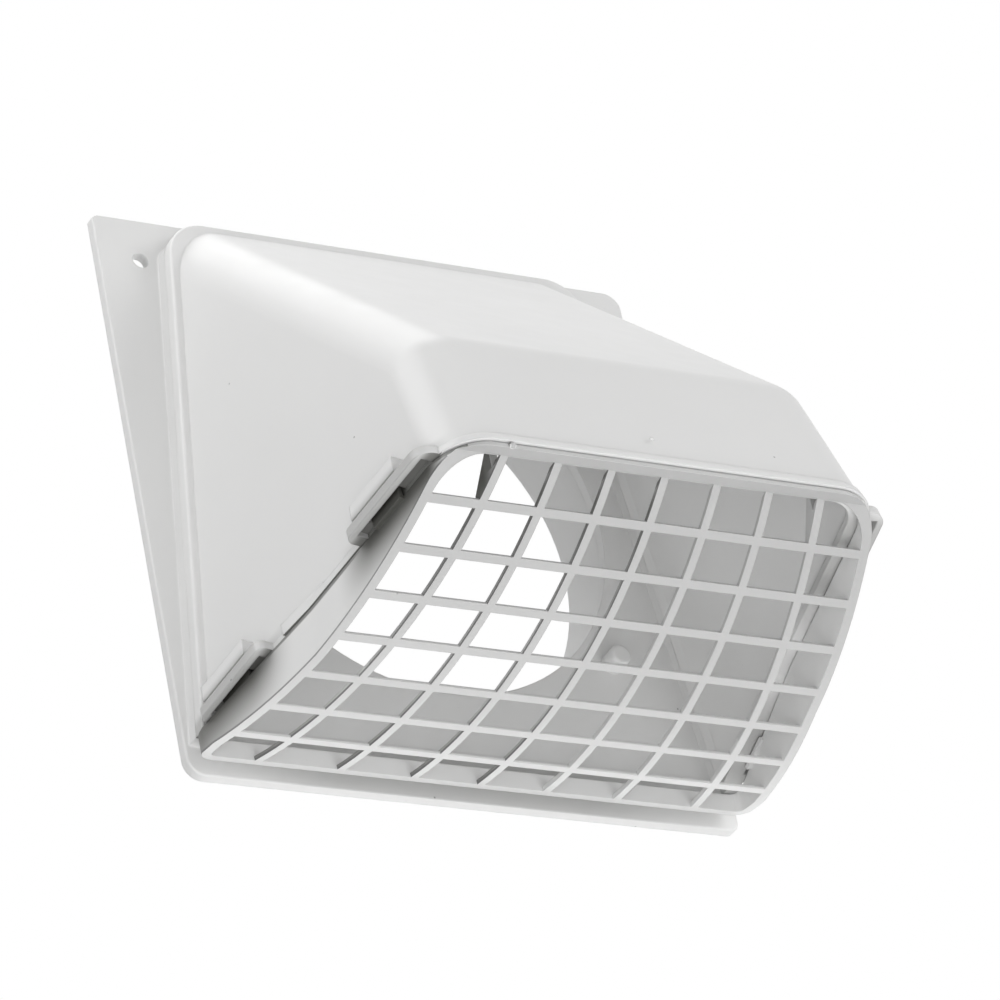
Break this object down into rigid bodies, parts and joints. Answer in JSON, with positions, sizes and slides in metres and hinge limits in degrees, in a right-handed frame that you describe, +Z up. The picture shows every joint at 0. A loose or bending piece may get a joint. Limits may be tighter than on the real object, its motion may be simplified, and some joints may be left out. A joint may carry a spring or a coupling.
{
  "type": "dryer vent cap",
  "caption": "White plastic wall cap for a dryer duct: square back plate with a round collar, sloping hood and a curved grid guard that unclips from the mouth.",
  "frame": {"origin": "on the duct's axis at the plate's back face", "axes": "+Y out of the back along the duct, +Z up the wall, the hood faces -Y"},
  "size_m": [0.1442, 0.1232, 0.1503],
  "materials": {
    "plate_plastic": "satin moulded",
    "hood_plastic": "satin moulded",
    "guard_plastic": "satin moulded"
  },
  "bodies": {
    "cap": {"back_plate": "plate_plastic", "hood": "hood_plastic"},
    "guard": {"guard": "guard_plastic"}
  },
  "joints": [
    {"name": "guard_pull_off", "type": "slide", "parent": "cap", "child": "guard", "axis": [0, -0.1955, -0.9807], "range_m": [0, 0.08]}
  ]
}
